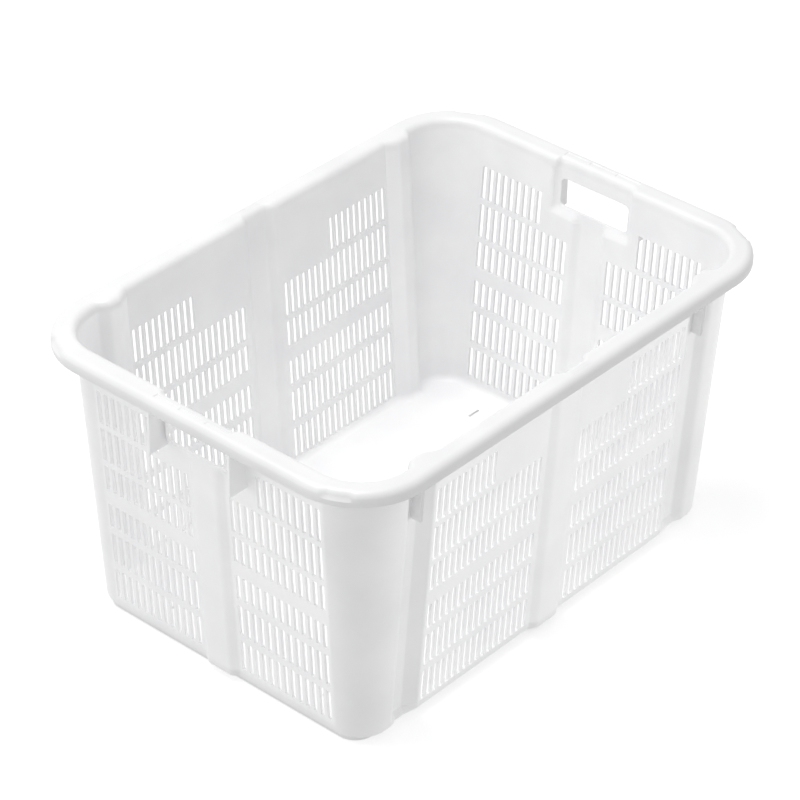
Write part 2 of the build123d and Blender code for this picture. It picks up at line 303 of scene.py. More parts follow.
class BasketStageSettings(bpy.types.PropertyGroup):
    """Camera and light of the studio stage."""

    camera_place: vector(
        "Camera place", "Where the camera stands", (-2.0605, -1.7835, 2.0393), "TRANSLATION", "LENGTH"
    )
    camera_forward: vector(
        "Camera forward", "Direction that the camera looks in", (0.6232, 0.5422, -0.5636), "DIRECTION"
    )
    camera_right: vector(
        "Camera right", "Direction of the picture's right side", (0.6620, -0.7494, 0.0110), "DIRECTION"
    )
    lens: FloatProperty(
        name="Lens",
        description="Focal length in millimetres on a 36 mm sensor",
        default=155.6,
        min=1.0,
        unit="CAMERA",
    )
    sky: strength("Sky", "Strength of the light from all round", 0.61)
    left_sky: strength("Left sky", "Extra strength of the sky on the picture's left", 0.3)
    glow: strength("Table glow", "Strength of the light from the lit table", 0.36)
    top_softbox: power("Top softbox", "Power of the softbox above", 19.0)
    left_wash: power("Left wash", "Power of the light on the left end", 3.0)
    front_wash: power("Front wash", "Power of the light on the front", 10.0)
    panel_wash: power("Panel wash", "Power of the light on both near walls", 5.0)
    inside_wash: power("Inside wash", "Power of the light on the floor", 3.4)
    far_wash: power("Far wash", "Power of the light on the far end", 1.5)


def end_face(walls, z):
    """Distance from the middle to an end wall's outer face at height z."""
    return POST_HIGH.x - (POST_HIGH.z - z) * tan(walls.lean)


def side_face(walls, z):
    """Distance from the middle to a long wall's outer face at height z."""
    return POST_HIGH.y - (POST_HIGH.z - z) * tan(walls.lean)


def quarter_turns(steps):
    """Angles from 0 to a quarter turn."""
    return [pi / 2 * k / steps for k in range(steps + 1)]


def ways_at(corners, i):
    """Directions of a path before and after one of its corners, or None past its ends."""
    here = Vector(corners[i][:2])
    before = (here - Vector(corners[i - 1][:2])).normalized() if i else None
    after = (Vector(corners[i + 1][:2]) - here).normalized() if i < len(corners) - 1 else None
    return before, after


def rounded(corners):
    """Points and left-hand normals along a path of (x, y, bend radius, steps) corners."""
    points, normals = [], []
    for i, (x, y, radius, steps) in enumerate(corners):
        here = Vector((x, y))
        before, after = ways_at(corners, i)
        if before is None or after is None or not steps:
            way = after if before is None else before
            points.append(here)
            normals.append(Vector((-way.y, way.x)))
            continue
        turn = -before.angle_signed(after)
        side = 1 if turn >= 0 else -1
        start = here - before * (radius * tan(abs(turn) / 2))
        inward = Vector((-before.y, before.x)) * side
        centre = start + inward * radius
        for k in range(steps + 1):
            arm = Matrix.Rotation(turn * k / steps, 2) @ -inward
            points.append(centre + arm * radius)
            normals.append(-arm * side)
    return points, normals


def all_round(quarter, z):
    """A loop at height z from a quarter of the plan, which runs from the right end to the back."""
    loop = []
    for turn, (sx, sy) in enumerate(QUARTERS):
        run = quarter if turn % 2 == 0 else quarter[::-1]
        loop += [Vector((sx * p.x, sy * p.y, z)) for p in run[:-1]]
    return loop


def column_fold(walls):
    """Half widths of a centre column's crest and base."""
    return walls.column_face / 2, walls.column_fold


def wall_corners(walls, z, end_fold, groove):
    """Corners of the walls' outer face in a quarter of the plan, from the end to the side.

    The fold in the end wall is given by the half widths of its crest and base, and the
    nesting groove by its depth.
    """
    end, side = end_face(walls, z), side_face(walls, z)
    stand = walls.column_projection
    radius = end - POST_CENTRE[0]
    crest, hollow = walls.crest_bend, walls.hollow_bend
    face, fold = column_fold(walls)
    outer = POST_CENTRE[0] - walls.groove_shoulder
    floor_outer = outer - walls.groove_outer_slope
    floor_inner = floor_outer - walls.groove_floor
    inner = floor_inner - walls.groove_inner_slope
    return [
        (end + stand, 0, 0, 0),
        (end + stand, end_fold[0], crest, BEND_STEPS),
        (end, end_fold[1], hollow, BEND_STEPS),
        (end, side, radius, CORNER_STEPS),
        (outer, side, crest, BEND_STEPS),
        (floor_outer, side - groove, hollow, BEND_STEPS),
        (floor_inner, side - groove, hollow, BEND_STEPS),
        (inner, side, hollow, BEND_STEPS),
        (fold, side, hollow, BEND_STEPS),
        (face, side + stand, crest, BEND_STEPS),
        (0, side + stand, 0, 0),
    ]


# Which of those corners belong to a corner post
CORNER_AND_GROOVE = slice(3, 8)


def moved_in(corners, distance):
    """Corners of a path moved inwards, with bends that stay round."""
    result = []
    for i, (x, y, radius, steps) in enumerate(corners):
        before, after = ways_at(corners, i)
        normals = [Vector((-way.y, way.x)) for way in (before, after) if way]
        mean = sum(normals, Vector((0, 0))).normalized()
        here = Vector((x, y)) + mean * distance / mean.dot(normals[0])
        if before and after:
            side = 1 if before.cross(after) > 0 else -1
            radius = max(radius - side * distance, LEAST_BEND)
        result.append((here.x, here.y, radius, steps))
    return result


def inset(path, distance):
    """Moves a path's points inwards along its normals."""
    points, normals = path
    return [p + n * distance for p, n in zip(points, normals)]


def sweep(sections, ring=False):
    """A closed solid through sections with equal numbers of points: a ring, or a bar with two ends."""
    count, total = len(sections[0]), len(sections)
    points = [p for section in sections for p in section]
    faces = [] if ring else [tuple(range(count))[::-1], tuple(range(len(points) - count, len(points)))]
    for i in range(total if ring else total - 1):
        here, there = i * count, (i + 1) % total * count
        for k in range(count):
            m = (k + 1) % count
            faces.append((here + k, there + k, there + m, here + m))
    return points, faces


def folded_wall(walls, top, corners_at):
    """A wall of even thickness from the floor pan up to its top, along corners given by height."""
    rows = []
    for z in (walls.start, top):
        path = rounded(corners_at(z))
        rows += [[Vector((*p, z)) for p in run] for run in (path[0], inset(path, walls.thickness))]
    low, low_inside, high, high_inside = rows
    return sweep(list(zip(low, high, high_inside, low_inside)))


def finished(shape, mesh):
    """Writes a shape to a mesh, with its faces turned outwards."""
    bmesh.ops.recalc_face_normals(shape, faces=shape.faces)
    shape.to_mesh(mesh)
    shape.free()
    return mesh


def mesh_of(name, points, faces):
    """A clean mesh from points and faces."""
    shape = bmesh.new()
    made = [shape.verts.new(p) for p in points]
    for face in faces:
        shape.faces.new([made[i] for i in face])
    bmesh.ops.remove_doubles(shape, verts=shape.verts, dist=MERGE_DISTANCE)
    bmesh.ops.dissolve_degenerate(shape, edges=shape.edges, dist=EMPTY_DISTANCE)
    return finished(shape, bpy.data.meshes.new(name))


def soften(mesh, width):
    """Rounds the sharp edges of a small solid."""
    shape = bmesh.new()
    shape.from_mesh(mesh)
    sharp = [e for e in shape.edges if e.is_manifold and e.calc_face_angle() > BEVEL_ANGLE]
    bmesh.ops.bevel(
        shape,
        geom=sharp,
        offset=width,
        segments=BEVEL_STEPS,
        profile=0.5,
        affect="EDGES",
        clamp_overlap=True,
    )
    return finished(shape, mesh)


def moved(mesh, way):
    """Carries each point of a mesh by a function of its place."""
    shape = bmesh.new()
    shape.from_mesh(mesh)
    for vert in shape.verts:
        vert.co = way(vert.co)
    return finished(shape, mesh)


def joined(meshes, name):
    """Several meshes as one."""
    shape = bmesh.new()
    for mesh in meshes:
        shape.from_mesh(mesh)
    return finished(shape, bpy.data.meshes.new(name))


def place(mesh, name, nodes, context):
    """Puts a finished mesh in the scene, on its body and in place of its CAD nodes."""
    mesh.shade_smooth()
    mesh.set_sharp_from_angle(angle=SHARP_ANGLE)
    mesh.materials.clear()
    mesh.materials.append(polyethylene(context))
    piece = bpy.data.objects.new(name, mesh)
    context.scene.collection.objects.link(piece)
    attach(piece, BODY)
    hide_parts(*nodes)


def node(tree, kind, links=None, **options):
    """Adds a node with its options; links gives inputs a value, another node's output or several."""
    made = tree.nodes.new(kind)
    for option, value in options.items():
        setattr(made, option, value)
    for key, value in (links or {}).items():
        for source in value if isinstance(value, list) else [value]:
            if isinstance(source, bpy.types.NodeSocket):
                tree.links.new(source, made.inputs[key])
            else:
                made.inputs[key].default_value = source
    return made


def empty_tree(holder):
    """The node tree of a material or a world, with nothing in it yet."""
    holder.use_nodes = True
    holder.node_tree.nodes.clear()
    return holder.node_tree


# Sizes of the marks in the plastic, in metres, and how far the handling marks change its roughness
FLOW_MARK, HANDLING_MARK, RIPPLE = 0.060, 0.012, 0.018
SMOOTHER, ROUGHER = 0.05, 0.07
POLYETHYLENE_IOR = 1.54


def polyethylene(context):
    """Injection-moulded white polyethylene: satin, faintly waxy, with soft flow marks.

    A low ripple of the mould and faint handling marks break its gloss, so highlights have soft,
    slightly uneven edges.
    """
    name = "moulded_white_polyethylene"
    if name in bpy.data.materials:
        return bpy.data.materials[name]
    finish = context.scene.basket_finish
    material = bpy.data.materials.new(name)
    tree = empty_tree(material)
    spot = node(tree, "ShaderNodeTexCoord").outputs["Object"]
    # Flow marks about 60 mm long
    marks = {"Vector": spot, "Scale": 1 / FLOW_MARK, "Detail": 3.0, "Roughness": 0.5}
    flow = node(tree, "ShaderNodeTexNoise", marks)
    tint = node(tree, "ShaderNodeValToRGB", {"Fac": flow.outputs["Fac"]})
    stops = (0.35, finish.shade), (0.65, finish.plastic)
    for stop, (position, shade) in zip(tint.color_ramp.elements, stops):
        stop.position, stop.color = position, (*shade, 1)
    # Handling marks about 12 mm across, drawn coarser than real scuffs so that they show
    marks = {"Vector": spot, "Scale": 1 / HANDLING_MARK, "Detail": 5.0, "Roughness": 0.62}
    scuff = node(tree, "ShaderNodeTexNoise", marks)
    limits = {
        "Value": scuff.outputs["Fac"],
        "From Min": 0.3,
        "From Max": 0.7,
        "To Min": finish.roughness - SMOOTHER,
        "To Max": finish.roughness + ROUGHER,
    }
    gloss = node(tree, "ShaderNodeMapRange", limits)
    # Ripple of the mould about 18 mm long and under a tenth of a millimetre high
    marks = {"Vector": spot, "Scale": 1 / RIPPLE, "Detail": 2.0, "Roughness": 0.4}
    ripple = node(tree, "ShaderNodeTexNoise", marks)
    relief = {"Height": ripple.outputs["Fac"], "Strength": 0.12, "Distance": 0.0006}
    bump = node(tree, "ShaderNodeBump", relief)
    surface = {
        "Base Color": tint.outputs["Color"],
        "Roughness": gloss.outputs["Result"],
        "Normal": bump.outputs["Normal"],
        "IOR": POLYETHYLENE_IOR,
    }
    shader = node(tree, "ShaderNodeBsdfPrincipled", surface)
    node(tree, "ShaderNodeOutputMaterial", {"Surface": shader.outputs["BSDF"]})
    return material


ROW_INPUTS = ("First", "Count", "Middle", "Height")


def slotted_plate(rows):
    """Geometry nodes that fill an outline, cut rows of slots in it and give it thickness."""
    name = f"slotted_plate_{rows}_rows"
    if name in bpy.data.node_groups:
        return bpy.data.node_groups[name]
    tree = bpy.data.node_groups.new(name, "GeometryNodeTree")
    tree.is_modifier = True
    face = tree.interface
    face.new_socket("Outline", in_out="INPUT", socket_type="NodeSocketGeometry")
    face.new_socket("Plate", in_out="OUTPUT", socket_type="NodeSocketGeometry")
    for label in ("Slot Width", "Slot Pitch", "Slot Corner", "Thickness"):
        face.new_socket(label, in_out="INPUT", socket_type="NodeSocketFloat")
    for row in range(rows):
        for label in ROW_INPUTS:
            kind = "NodeSocketInt" if label == "Count" else "NodeSocketFloat"
            face.new_socket(f"Row {row + 1} {label}", in_out="INPUT", socket_type=kind)
    face.new_socket("Material", in_out="INPUT", socket_type="NodeSocketMaterial")
    given = node(tree, "NodeGroupInput").outputs
    curves = [node(tree, "GeometryNodeMeshToCurve", {"Mesh": given["Outline"]}).outputs["Curve"]]
    step = node(tree, "ShaderNodeCombineXYZ", {"X": given["Slot Pitch"]}).outputs[0]
    for row in range(rows):
        first, count, middle, height = (given[f"Row {row + 1} {label}"] for label in ROW_INPUTS)
        start = node(tree, "ShaderNodeCombineXYZ", {"X": first, "Y": middle}).outputs[0]
        run = {"Count": count, "Start Location": start, "Offset": step}
        line = node(tree, "GeometryNodeMeshLine", run, mode="OFFSET")
        sizes = {"Width": given["Slot Width"], "Height": height}
        opening = node(tree, "GeometryNodeCurvePrimitiveQuadrilateral", sizes, mode="RECTANGLE")
        bends = {"Curve": opening.outputs[0], "Count": SLOT_STEPS, "Radius": given["Slot Corner"]}
        eased = node(tree, "GeometryNodeFilletCurve", bends, mode="POLY")
        copied = {"Points": line.outputs["Mesh"], "Instance": eased.outputs["Curve"]}
        copies = node(tree, "GeometryNodeInstanceOnPoints", copied)
        curves.append(copies.outputs["Instances"])
    loose = node(tree, "GeometryNodeJoinGeometry", {"Geometry": curves})
    lines = node(tree, "GeometryNodeRealizeInstances", {"Geometry": loose.outputs[0]})
    filled = node(tree, "GeometryNodeFillCurve", {"Curve": lines.outputs[0]}, mode="TRIANGLES")
    sheet = filled.outputs["Mesh"]
    depth = node(tree, "ShaderNodeCombineXYZ", {"Z": given["Thickness"]}).outputs[0]
    lift = {"Mesh": sheet, "Offset": depth, "Offset Scale": 1.0, "Individual": False}
    raised = node(tree, "GeometryNodeExtrudeMesh", lift, mode="FACES").outputs["Mesh"]
    under = node(tree, "GeometryNodeFlipFaces", {"Mesh": sheet}).outputs["Mesh"]
    whole = node(tree, "GeometryNodeJoinGeometry", {"Geometry": [raised, under]})
    merged = {"Geometry": whole.outputs[0], "Distance": MERGE_DISTANCE}
    closed = node(tree, "GeometryNodeMergeByDistance", merged)
    real = node(tree, "GeometryNodeRealizeInstances", {"Geometry": closed.outputs[0]})
    coat = {"Geometry": real.outputs[0], "Material": given["Material"]}
    painted = node(tree, "GeometryNodeSetMaterial", coat)
    node(tree, "NodeGroupOutput", {"Plate": painted.outputs[0]})
    return tree


def plate(context, name, outline, rows, thickness, width, pitch, corner):
    """A flat slotted plate as a mesh: outline in x and y, thickness up z from 0."""
    base = bpy.data.meshes.new(name)
    count = len(outline)
    base.from_pydata(
        [(x, y, 0) for x, y in outline], [(i, (i + 1) % count) for i in range(count)], []
    )
    blank = bpy.data.objects.new(name, base)
    context.scene.collection.objects.link(blank)
    tree = slotted_plate(len(rows))
    values = {
        "Slot Width": width,
        "Slot Pitch": pitch,
        "Slot Corner": corner,
        "Thickness": thickness,
        "Material": polyethylene(context),
    }
    for row, (first, slots, low, high) in enumerate(rows):
        for label, value in zip(ROW_INPUTS, (first, slots, (low + high) / 2, high - low)):
            values[f"Row {row + 1} {label}"] = value
    modifier = blank.modifiers.new("slots", "NODES")
    modifier.node_group = tree
    for socket in tree.interface.items_tree:
        if socket.in_out == "INPUT" and socket.name in values:
            modifier[socket.identifier] = values[socket.name]
    context.view_layer.update()
    ready = blank.evaluated_get(context.evaluated_depsgraph_get())
    mesh = bpy.data.meshes.new_from_object(ready)
    bpy.data.objects.remove(blank)
    bpy.data.meshes.remove(base)
    if not mesh.polygons:
        raise RuntimeError(f"{name}: the slotted plate came out empty")
    return mesh


def slot_rows(slots, margin, pitch, last, top, open_above, open_from):
    """First place, count, bottom and top of each row of slots.

    Rows with their top over open_above leave out the slots nearer to the middle than open_from.
    """
    first = SIDE_COLUMN_HIGH.x + margin + slots.width / 2
    count = int((last - slots.edge - slots.width / 2 - first) / pitch) + 1
    rows = []
    for height, gap in zip(slots.row_heights, slots.row_gaps):
        skipped = 0
        if top > open_above:
            while first + skipped * pitch < open_from:
                skipped += 1
        rows.append((first + skipped * pitch, count - skipped, top - height, top))
        top -= height + gap
    return rows


class BASKET_OT_panels(bpy.types.Operator):
    """Makes the eight slotted half panels, from the floor pan up to the rim"""

    bl_idname = "basket.panels"
    bl_label = "Slotted panels"

    def execute(self, context):
        walls, slots = context.scene.basket_walls, context.scene.basket_slots
        start, end_last, side_last = SIDE_COLUMN_HIGH.x, POST_LOW.y, POST_LOW.x
        end_top, side_top = RIM_HIGH.z - slots.end_top, RIM_HIGH.z - slots.side_top
        grip = (GRIP_LOW.z, GRIP_HIGH.y + slots.end_clear)
        field = (side_top - slots.row_heights[0], slots.side_clear)
        end_rows = slot_rows(slots, slots.end_margin, slots.end_pitch, end_last, end_top, *grip)
        side_rows = slot_rows(slots, slots.side_margin, slots.side_pitch, side_last, side_top, *field)
        low, high = walls.start, walls.end
        end_outline = [(start, low), (end_last, low), (end_last, high)]
        end_outline += [(GRIP_HIGH.y, high), (GRIP_HIGH.y, GRIP_LOW.z), (start, GRIP_LOW.z)]
        side_outline = [(start, low), (side_last, low), (side_last, high), (start, high)]
        for end_name, end, side_name, side in CORNERS:

            def on_end(p):
                return Vector((end * (end_face(walls, p.y) - p.z), side * p.x, p.y))

            def on_side(p):
                return Vector((end * p.x, side * (side_face(walls, p.y) - p.z), p.y))

            for name, outline, rows, pitch, way in (
                (f"{end_name}_panel_{side_name}", end_outline, end_rows, slots.end_pitch, on_end),
                (f"{side_name}_panel_{end_name}", side_outline, side_rows, slots.side_pitch, on_side),
            ):
                sizes = (walls.thickness, slots.width, pitch, slots.corner)
                mesh = moved(plate(context, name, outline, rows, *sizes), way)
                place(mesh, name, [f"{name}_upper", f"{name}_lower"], context)
        return {"FINISHED"}


class BASKET_OT_posts(bpy.types.Operator):
    """Makes the four corner posts, each a cone with a nesting groove beside it"""

    bl_idname = "basket.posts"
    bl_label = "Corner posts"

    def execute(self, context):
        walls = context.scene.basket_walls

        def corners_at(z):
            folds = wall_corners(walls, z, column_fold(walls), walls.groove_depth)[CORNER_AND_GROOVE]
            start, last = (end_face(walls, z), POST_LOW.y), (POST_LOW.x, side_face(walls, z))
            return [(*start, 0, 0), *folds, (*last, 0, 0)]

        points, faces = folded_wall(walls, walls.end, corners_at)
        for end_name, end, side_name, side in CORNERS:
            mesh = mesh_of("post", [Vector((end * p.x, side * p.y, p.z)) for p in points], faces)
            corner = f"{side_name}_{end_name}"
            place(mesh, f"post_{corner}", [f"corner_post_{corner}"], context)
        return {"FINISHED"}


class BASKET_OT_columns(bpy.types.Operator):
    """Makes the centre columns, which run into the hand grips on the end walls"""

    bl_idname = "basket.columns"
    bl_label = "Centre columns"

    def execute(self, context):
        walls = context.scene.basket_walls
        face, fold = column_fold(walls)
        half, stand = SIDE_COLUMN_HIGH.x, walls.column_projection
        for name, turn, out, top in (
            ("right_column", 0, end_face, GRIP_LOW.z),
            ("back_column", 90, side_face, walls.end),
            ("left_column", 180, end_face, GRIP_LOW.z),
            ("front_column", 270, side_face, walls.end),
        ):

            def corners_at(z):
                away = out(walls, z)
                half_fold = [
                    (away + stand, face, walls.crest_bend, BEND_STEPS),
                    (away, fold, walls.hollow_bend, BEND_STEPS),
                    (away, half, 0, 0),
                ]
                return [(x, -y, *bend) for x, y, *bend in half_fold[::-1]] + half_fold

            points, faces = folded_wall(walls, top, corners_at)
            spin = Matrix.Rotation(radians(turn), 3, "Z")
            mesh = mesh_of(name, [spin @ p for p in points], faces)
            place(mesh, name.replace("column", "centre_column"), [name], context)
        return {"FINISHED"}


class BASKET_OT_rim(bpy.types.Operator):
    """Makes the rim: a rounded flange with a lip turned down and a notch in each corner"""

    bl_idname = "basket.rim"
    bl_label = "Rim"

    def execute(self, context):
        walls, rim = context.scene.basket_walls, context.scene.basket_rim
        mesh = mesh_of("rim_moulding", *sweep(rim_sections(walls, rim), ring=True))
        place(mesh, "rim_moulding", ["rim"], context)
        return {"FINISHED"}


def marked(path, places):
    """Adds points at given distances from the middle of the end wall to a path that starts there."""
    points, normals = path
    for y in places:
        i = next(k for k, p in enumerate(points) if p.y > y)
        share = (y - points[i - 1].y) / (points[i].y - points[i - 1].y)
        points.insert(i, points[i - 1].lerp(points[i], share))
        normals.insert(i, normals[i - 1].lerp(normals[i], share).normalized())
    return points, normals


def round_inset(radius, depth):
    """How far a rounded outer edge stands back from its face at a depth under its top."""
    return radius - sqrt(radius**2 - max(radius - depth, 0.0) ** 2)


def rim_plan(walls, rim):
    """Plan points of each section of the rim all round, with its notch and recess depths."""
    under = RIM_HIGH.z - rim.flange
    pocket = (rim.pocket_crest, rim.pocket_base)
    bar, rib_end, recess_end = rim.recess_bar, rim.recess_bar + rim.recess_rib, rim.recess_half
    marks = [edge + step for edge in (bar, rib_end, recess_end) for step in (0, RECESS_STEP)]
    low, high = (
        marked(rounded(wall_corners(walls, z, pocket, walls.groove_depth)), marks)
        for z in (walls.end, under)
    )
    low_inside, high_inside = inset(low, walls.thickness), inset(high, walls.thickness)
    centre = Vector((RIM_HIGH.x - rim.corner_radius, RIM_HIGH.y - rim.corner_radius))
    # The corner's arc comes after the first point, two bends and the marks
    first_arc = 1 + 2 * (BEND_STEPS + 1) + len(marks)
    near = RECESS_STEP / 4
    quarter = []
    for i, wall in enumerate(high[0]):
        turn = i - first_arc
        sunk = 0.0
        if turn < 0:
            edge = Vector((RIM_HIGH.x, wall.y * centre.y / POST_CENTRE[1]))
            y = wall.y
            if y <= bar + near or rib_end + RECESS_STEP - near <= y <= recess_end + near:
                sunk = rim.recess_depth
        elif turn <= CORNER_STEPS:
            angle = pi / 2 * turn / CORNER_STEPS
            edge = centre + Vector((cos(angle), sin(angle))) * rim.corner_radius
        else:
            edge = Vector((wall.x * centre.x / POST_CENTRE[0], RIM_HIGH.y))
        cut = rim.notch_depth if rim.notch_start < turn < rim.notch_end else 0.0
        quarter.append(((low_inside[i], high_inside[i], low[0][i], wall, edge), cut, sunk))
    loop = []
    for turn, (sx, sy) in enumerate(QUARTERS):
        for plan, cut, sunk in quarter[:-1] if turn % 2 == 0 else quarter[:0:-1]:
            loop.append(([Vector((sx * p.x, sy * p.y)) for p in plan], cut, sunk))
    return loop


def rim_sections(walls, rim):
    """Sections of the rim all round the mouth of the walls."""
    top, bottom = RIM_HIGH.z, RIM_LOW.z
    under = top - rim.flange
    lip_round, inner, outer = rim.lip_round, rim.inner_round, rim.outer_round
    turns, lip_turns = quarter_turns(ROUND_STEPS), quarter_turns(LIP_STEPS)
    heel = bottom + lip_round
    sections = []
    for (low, mouth, wall_low, wall_high, edge), cut, sunk in rim_plan(walls, rim):
        across = edge - mouth
        width = across.length
        across.normalize()

        def spot(d, z):
            p = mouth + across * d
            return Vector((p.x, p.y, z))

        section = [Vector((low.x, low.y, walls.end))]
        section += [spot(inner - inner * cos(a), top - inner + inner * sin(a)) for a in turns]
        flat_end = width - cut - outer
        middle = (inner + flat_end) / 2
        brow = min(inner + rim.recess_inside, middle - 2 * RECESS_STEP)
        back = max(flat_end - rim.recess_outside, middle + 2 * RECESS_STEP)
        section += [spot(brow, top), spot(brow + RECESS_STEP, top - sunk)]
        section += [spot(back - RECESS_STEP, top - sunk), spot(back, top)]
        depths = [outer - outer * cos(a) for a in turns]
        for depth in (min(d, rim.notch_height - rim.notch_slope) for d in depths):
            section.append(spot(width - cut - round_inset(outer, depth), top - depth))
        for depth in (max(d, rim.notch_height) for d in depths):
            section.append(spot(width - round_inset(outer, depth), top - depth))
        outside, inside = width - lip_round, width - rim.lip
        section += [spot(outside + lip_round * cos(a), heel - lip_round * sin(a)) for a in lip_turns]
        inner_heel = inside + lip_round
        section += [spot(inner_heel - lip_round * sin(a), heel - lip_round * cos(a)) for a in lip_turns]
        section += [spot(inside, under - lip_round), spot(inside - lip_round, under)]
        p = wall_high + across * lip_round
        section.append(Vector((p.x, p.y, under)))
        section.append(Vector((wall_high.x, wall_high.y, under - lip_round)))
        section.append(Vector((wall_low.x, wall_low.y, walls.end)))
        sections.append(section)
    return sections


def fold_profile(walls, crest, base):
    """Rounded profile of an outward fold: heights at growing distances from its middle."""
    stand = walls.column_projection
    corners = [
        (stand, 0, 0, 0),
        (stand, crest, walls.crest_bend, BEND_STEPS),
        (0, base, walls.hollow_bend, BEND_STEPS),
        (0, 2 * base, 0, 0),
    ]
    return rounded(corners)[0]


def height_on(profile, away):
    """Height of a fold's profile at a distance from its middle."""
    for here, there in zip(profile, profile[1:]):
        if here.y <= away <= there.y:
            return here.x + (there.x - here.x) * (away - here.y) / (there.y - here.y)
    return 0.0


def hole_quarter(rim, half, reach):
    """Pairs of points on a hand hole's edge and on its grip's edge, in a quarter of the hole."""
    corner = rim.hole_corner
    across, up = rim.hole_width / 2 - corner, rim.hole_height / 2 - corner
    pairs = []
    for k in range(SILL_STEPS):
        y = across * k / SILL_STEPS
        pairs.append(((y, up + corner), (y, reach)))
    for k in range(2 * FAN_STEPS):
        angle = pi / 4 * k / FAN_STEPS
        edge = (across + (half - across) * k / FAN_STEPS, reach)
        if k > FAN_STEPS:
            edge = (half, reach - (reach - up) * (k - FAN_STEPS) / FAN_STEPS)
        pairs.append(((across + corner * sin(angle), up + corner * cos(angle)), edge))
    for k in range(JAMB_STEPS + 1):
        z = up - up * k / JAMB_STEPS
        pairs.append(((across + corner, z), (half, z)))
    return pairs


def grip_sections(walls, rim):
    """Sections of the right grip's pocketed wall, all round its hand hole."""
    half = GRIP_HIGH.y
    middle = RIM_HIGH.z - rim.hole_drop - rim.hole_height / 2
    under, over = (
        hole_quarter(rim, half, reach) for reach in (middle - GRIP_LOW.z, walls.end - middle)
    )
    loop = []
    for run, sy, sz in ((under, 1, -1), (over[::-1], 1, 1), (over, -1, 1), (under[::-1], -1, -1)):
        for pair in run[:-1]:
            loop.append([Vector((sy * y, middle + sz * z)) for y, z in pair])
    pocket = fold_profile(walls, rim.pocket_crest, rim.pocket_base)
    column = fold_profile(walls, *column_fold(walls))
    ease, stand = rim.edge_round, walls.column_projection

    def outer(p):
        share = min(max((p.y - rim.ledge_low) / (rim.ledge_high - rim.ledge_low), 0.0), 1.0)
        bulge = height_on(pocket, abs(p.x)) * share * share * (3 - 2 * share)
        fold = height_on(column, abs(p.x))
        return end_face(walls, p.y) + bulge + fold - bulge * fold / stand

    sections = []
    for hole, edge in loop:
        ray = edge - hole
        span = ray.length
        steps = [(ease * (1 - cos(a)), ease * (1 - sin(a))) for a in quarter_turns(EASE_STEPS)[:-1]]
        steps += [(ease + (span - ease) * k / RING_STEPS, 0.0) for k in range(RING_STEPS + 1)]
        spots = [(hole + ray * (away / span), drop) for away, drop in steps]
        front = [Vector((outer(p) - drop, *p)) for p, drop in spots]
        back = [Vector((outer(p) - walls.thickness + drop, *p)) for p, drop in spots]
        sections.append(front + back[::-1])
    return sections


class BASKET_OT_grips(bpy.types.Operator):
    """Makes the hand grips: the pocketed wall round each hand hole and its two cheeks"""

    bl_idname = "basket.grips"
    bl_label = "Hand grips"

    def execute(self, context):
        walls, rim = context.scene.basket_walls, context.scene.basket_rim
        points, faces = sweep(grip_sections(walls, rim), ring=True)
        low, under, lip_low = GRIP_LOW.z, RIM_HIGH.z - rim.flange, RIM_LOW.z
        sunk, front, bite = walls.thickness / 2, GRIP_HIGH.x, rim.edge_round
        cheek = [
            (end_face(walls, low) - sunk, low),
            (end_face(walls, under) - sunk, under),
            (front + bite, under),
            (front + bite, lip_low + bite),
            (front, lip_low + bite),
            (front, low),
        ]
        for end_name, end in ENDS.items():
            meshes = [mesh_of("pocket", [Vector((end * p.x, p.y, p.z)) for p in points], faces)]
            for y in (-rim.cheek_place - rim.cheek, rim.cheek_place):
                sides = [[Vector((end * x, s, z)) for x, z in cheek] for s in (y, y + rim.cheek)]
                meshes.append(soften(mesh_of("cheek", *sweep(sides)), rim.edge_round))
            place(joined(meshes, "grip"), f"grip_{end_name}", [f"{end_name}_hand_grip"], context)
        return {"FINISHED"}


class BASKET_OT_lugs(bpy.types.Operator):
    """Makes the four nest-stop lugs that hang from the rim in the grooves"""

    bl_idname = "basket.lugs"
    bl_label = "Stop lugs"

    def execute(self, context):
        walls, rim = context.scene.basket_walls, context.scene.basket_rim
        root = [(side_face(walls, z) - walls.groove_depth, z) for z in (LUG_LOW.z, LUG_HIGH.z)]
        fin = [(y - walls.thickness / 2, z) for y, z in root]
        fin += [(y + rim.lug_reach, z) for y, z in root[::-1]]
        for end_name, end, side_name, side in CORNERS:
            sides = [[Vector((end * x, side * y, z)) for y, z in fin] for x in (LUG_LOW.x, LUG_HIGH.x)]
            mesh = soften(mesh_of("lug", *sweep(sides)), rim.edge_round)
            corner = f"{side_name}_{end_name}"
            place(mesh, f"lug_{corner}", [f"stop_lug_{corner}"], context)
        return {"FINISHED"}


